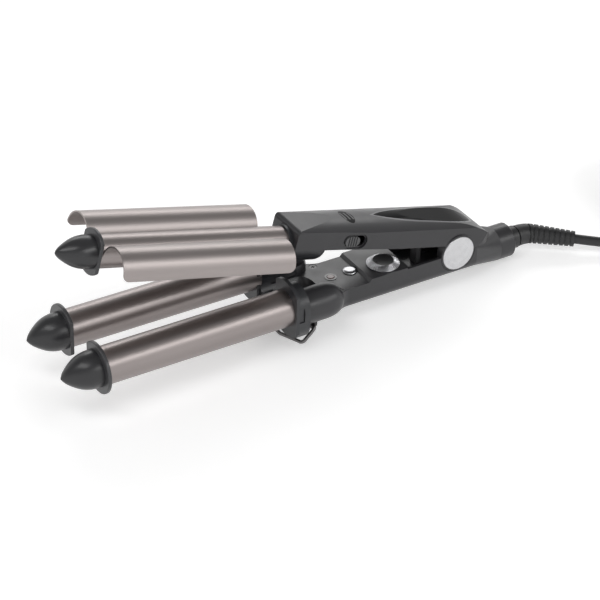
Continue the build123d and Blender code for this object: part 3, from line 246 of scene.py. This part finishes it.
def moulded(name, color, roughness, grain=GRAIN_DEPTH, scale=GRAIN_SCALE):
    """Moulded plastic with a fine spark-eroded grain and a faint drift in tone."""
    look = Look(name, color, 0.0, roughness)
    look.bump(look.noise(look.place(), scale, detail=3.0, rough=0.6), grain, strength=0.35)
    look.vary_roughness(look.noise(look.place(), WEAR_SCALE, detail=3.0), amount=0.04)
    look.vary_color(look.noise(look.place(), TONE_SCALE), amount=0.06)
    return look


def drawn_metal(name, color, roughness, tilt=0.0):
    """Coated metal with faint lines along its length, which is along X once turned by the tilt."""
    look = Look(name, color, 1.0, roughness)
    lines = look.noise(look.place(METAL_LINES, tilt=tilt), scale=1.0, rough=0.6)
    look.bump(lines, METAL_RELIEF, strength=0.1)
    look.vary_roughness(lines, amount=0.012)
    look.vary_color(look.noise(look.place(METAL_DRIFT, tilt=tilt), scale=1.0), amount=0.04)
    return look


def turned_metal(name, color, roughness):
    """Metal turned on a lathe, with fine rings about the jaws' hinge."""
    look = Look(name, color, 1.0, roughness)
    across = look.place((1.0, 0.0, 1.0), (-HINGE[0], 0.0, -HINGE[2]))
    reach = look.node("ShaderNodeVectorMath", operation="LENGTH")
    look.link(across, reach.inputs[0])
    rings = look.node("ShaderNodeTexNoise", noise_dimensions="1D")
    rings.inputs["Scale"].default_value = RING_SCALE
    look.link(reach.outputs["Value"], rings.inputs["W"])
    look.bump(rings.outputs["Fac"], RING_DEPTH, strength=0.5)
    look.vary_roughness(rings.outputs["Fac"], amount=0.04)
    look.vary_color(look.noise(look.place(), MOTTLE_SCALE, detail=3.0), amount=0.05)
    return look


# barrels and heaters
COATING = (0.305, 0.272, 0.264)
drawn_metal("barrel_coating", COATING, 0.36).dress("near_barrel", "far_barrel")
drawn_metal("centre_coating", COATING, 0.36, -JAWS_OPEN).dress("centre_barrel")
drawn_metal("cover_sheet", (0.33, 0.297, 0.288), 0.38, -JAWS_OPEN).dress(
    "near_cover_plate", "far_cover_plate")
drawn_metal("core_metal", (0.75, 0.75, 0.76), 0.3).dress(
    "near_heater_core", "far_heater_core", "centre_heater_core")
moulded("element_film", (0.6, 0.5, 0.3), 0.3).dress(
    "near_heating_element", "far_heating_element", "centre_heating_element")
moulded("tip_plastic", (0.026, 0.026, 0.028), 0.32).dress("near_tip", "far_tip", "centre_tip")
moulded("flange_plastic", (0.045, 0.045, 0.048), 0.34).dress("near_flange", "far_flange", "centre_flange")
moulded("collar_plastic", (0.026, 0.027, 0.030), 0.36).dress(
    "near_collar", "far_collar", "centre_collar", "centre_socket")

# arms
moulded("housing_plastic", (0.027, 0.0265, 0.029), 0.34).dress(
    "lower_housing", "bottom_cover", "upper_shell", "upper_base")
moulded("panel_gloss", (0.003, 0.003, 0.0035), 0.12, grain=0.000002, scale=400.0).specular(0.025).dress(
    "top_panel")
moulded("trim_grey", (0.13, 0.13, 0.135), 0.3).dress("panel_trim")
moulded("grille_black", (0.005, 0.005, 0.0055), 0.4).specular(0.06).dress("vent_grille")
moulded("lock_plastic", (0.07, 0.07, 0.072), 0.35).dress("lock_knob", "lock_catch")
turned_metal("cap_silver", (0.58, 0.58, 0.59), 0.30).dress("near_pivot_cap", "far_pivot_cap")
drawn_metal("plain_steel", (0.55, 0.55, 0.56), 0.3).dress(
    "hinge_pin", "hinge_washers", "hinge_spring", "swivel_clip", "lock_bar", "lower_screws", "upper_screws")
drawn_metal("black_steel", (0.10, 0.10, 0.10), 0.35).dress("deck_screws")
drawn_metal("stand_wire", (0.16, 0.155, 0.155), 0.3).dress("wire_stand")

# controls and what lies under them
moulded("dial_black", (0.012, 0.012, 0.013), 0.36).dress("dial_cap", "dial_shaft")
drawn_metal("dial_chrome", (0.70, 0.70, 0.72), 0.20).dress("dial_ring")
drawn_metal("button_silver", (0.50, 0.50, 0.515), 0.30).dress("power_button")
moulded("bezel_gloss", (0.01, 0.01, 0.01), 0.2).dress("indicator_bezel")
moulded("lens_red", (0.07, 0.02, 0.016), 0.15).dress("indicator_lens", "indicator_led")
moulded("component_black", (0.012, 0.012, 0.013), 0.4).dress("dial_potentiometer", "power_switch")
moulded("board_green", (0.01, 0.08, 0.03), 0.35).dress("circuit_board")

# cord and plug
moulded("swivel_plastic", (0.02, 0.02, 0.021), 0.4).dress("swivel_neck")
cord_rubber = moulded("cord_rubber", (0.016, 0.016, 0.017), 0.46)
cord_rubber.dress("cord_guard")
cord.data.materials.append(cord_rubber.material)
moulded("plug_plastic", (0.016, 0.016, 0.017), 0.42).dress("plug_body")
drawn_metal("pin_nickel", (0.72, 0.70, 0.64), 0.2).dress("plug_pins")


# ---------------------------------------------------------------- floor
FLOOR_HALF = 6.0
FLOOR_COLOR = (0.90, 0.90, 0.90)
FLOOR_GLOW = 0.36
WHITE = (1.0, 1.0, 1.0, 1.0)

floor_mesh = bpy.data.meshes.new("floor")
corners = [(x * FLOOR_HALF, y * FLOOR_HALF, 0) for x, y in ((-1, -1), (1, -1), (1, 1), (-1, 1))]
floor_mesh.from_pydata(corners, [], [(0, 1, 2, 3)])
floor = make_object("floor", floor_mesh)
floor_look = Look("floor", FLOOR_COLOR, 0.0, 0.6)
floor_look.vary_roughness(floor_look.noise(floor_look.place(), scale=3.0), amount=0.05)
# the floor looks white to the camera and in mirrors, and keeps the shadow
rays = floor_look.node("ShaderNodeLightPath")
seen = rays.outputs["Is Camera Ray"]
for kind in ("Is Glossy Ray", "Is Transmission Ray"):
    either = floor_look.node("ShaderNodeMath", operation="MAXIMUM")
    floor_look.link(seen, either.inputs[0])
    floor_look.link(rays.outputs[kind], either.inputs[1])
    seen = either.outputs[0]
glow = floor_look.node("ShaderNodeMath", operation="MULTIPLY")
floor_look.link(seen, glow.inputs[0])
glow.inputs[1].default_value = FLOOR_GLOW
floor_look.shader.inputs["Emission Color"].default_value = WHITE
floor_look.link(glow.outputs[0], floor_look.shader.inputs["Emission Strength"])
floor_mesh.materials.append(floor_look.material)


# ---------------------------------------------------------------- light and world
LIT_POINT = Vector((0, 0, 0.05))


def area_light(name, place, size, power):
    """A soft rectangular lamp at place that faces the object, with its power in watts."""
    data = bpy.data.lights.new(name, "AREA")
    data.shape = "RECTANGLE"
    data.size, data.size_y = size
    data.energy = power
    lamp = make_object(name, data)
    lamp.location = place
    lamp.rotation_euler = (LIT_POINT - Vector(place)).to_track_quat("-Z", "Y").to_euler()


area_light("key", (-0.6, -0.3, 1.3), (1.0, 0.4), 5.0)
area_light("back", (0.7, 1.1, 0.85), (1.3, 0.35), 5.0)
area_light("front", (0.72, -1.14, 0.9), (1.5, 0.4), 6.2)

# a pale studio: white at the horizon, darker overhead, by the height of each direction
WHITE_BELOW = 0.25
DARK_ABOVE = 0.75
HORIZON_STRENGTH = 1.0
OVERHEAD_STRENGTH = 0.22

world = bpy.data.worlds.new("world")
bpy.context.scene.world = world
world.use_nodes = True
sky = world.node_tree
direction = sky.nodes.new("ShaderNodeTexCoord")
split = sky.nodes.new("ShaderNodeSeparateXYZ")
strength = sky.nodes.new("ShaderNodeMapRange")
strength.interpolation_type = "SMOOTHSTEP"
strength.inputs["From Min"].default_value = WHITE_BELOW
strength.inputs["From Max"].default_value = DARK_ABOVE
strength.inputs["To Min"].default_value = HORIZON_STRENGTH
strength.inputs["To Max"].default_value = OVERHEAD_STRENGTH
sky.links.new(direction.outputs["Generated"], split.inputs[0])
sky.links.new(split.outputs["Z"], strength.inputs["Value"])
sky.nodes["Background"].inputs["Color"].default_value = WHITE
sky.links.new(strength.outputs["Result"], sky.nodes["Background"].inputs["Strength"])

bpy.context.scene.view_settings.view_transform = "Standard"
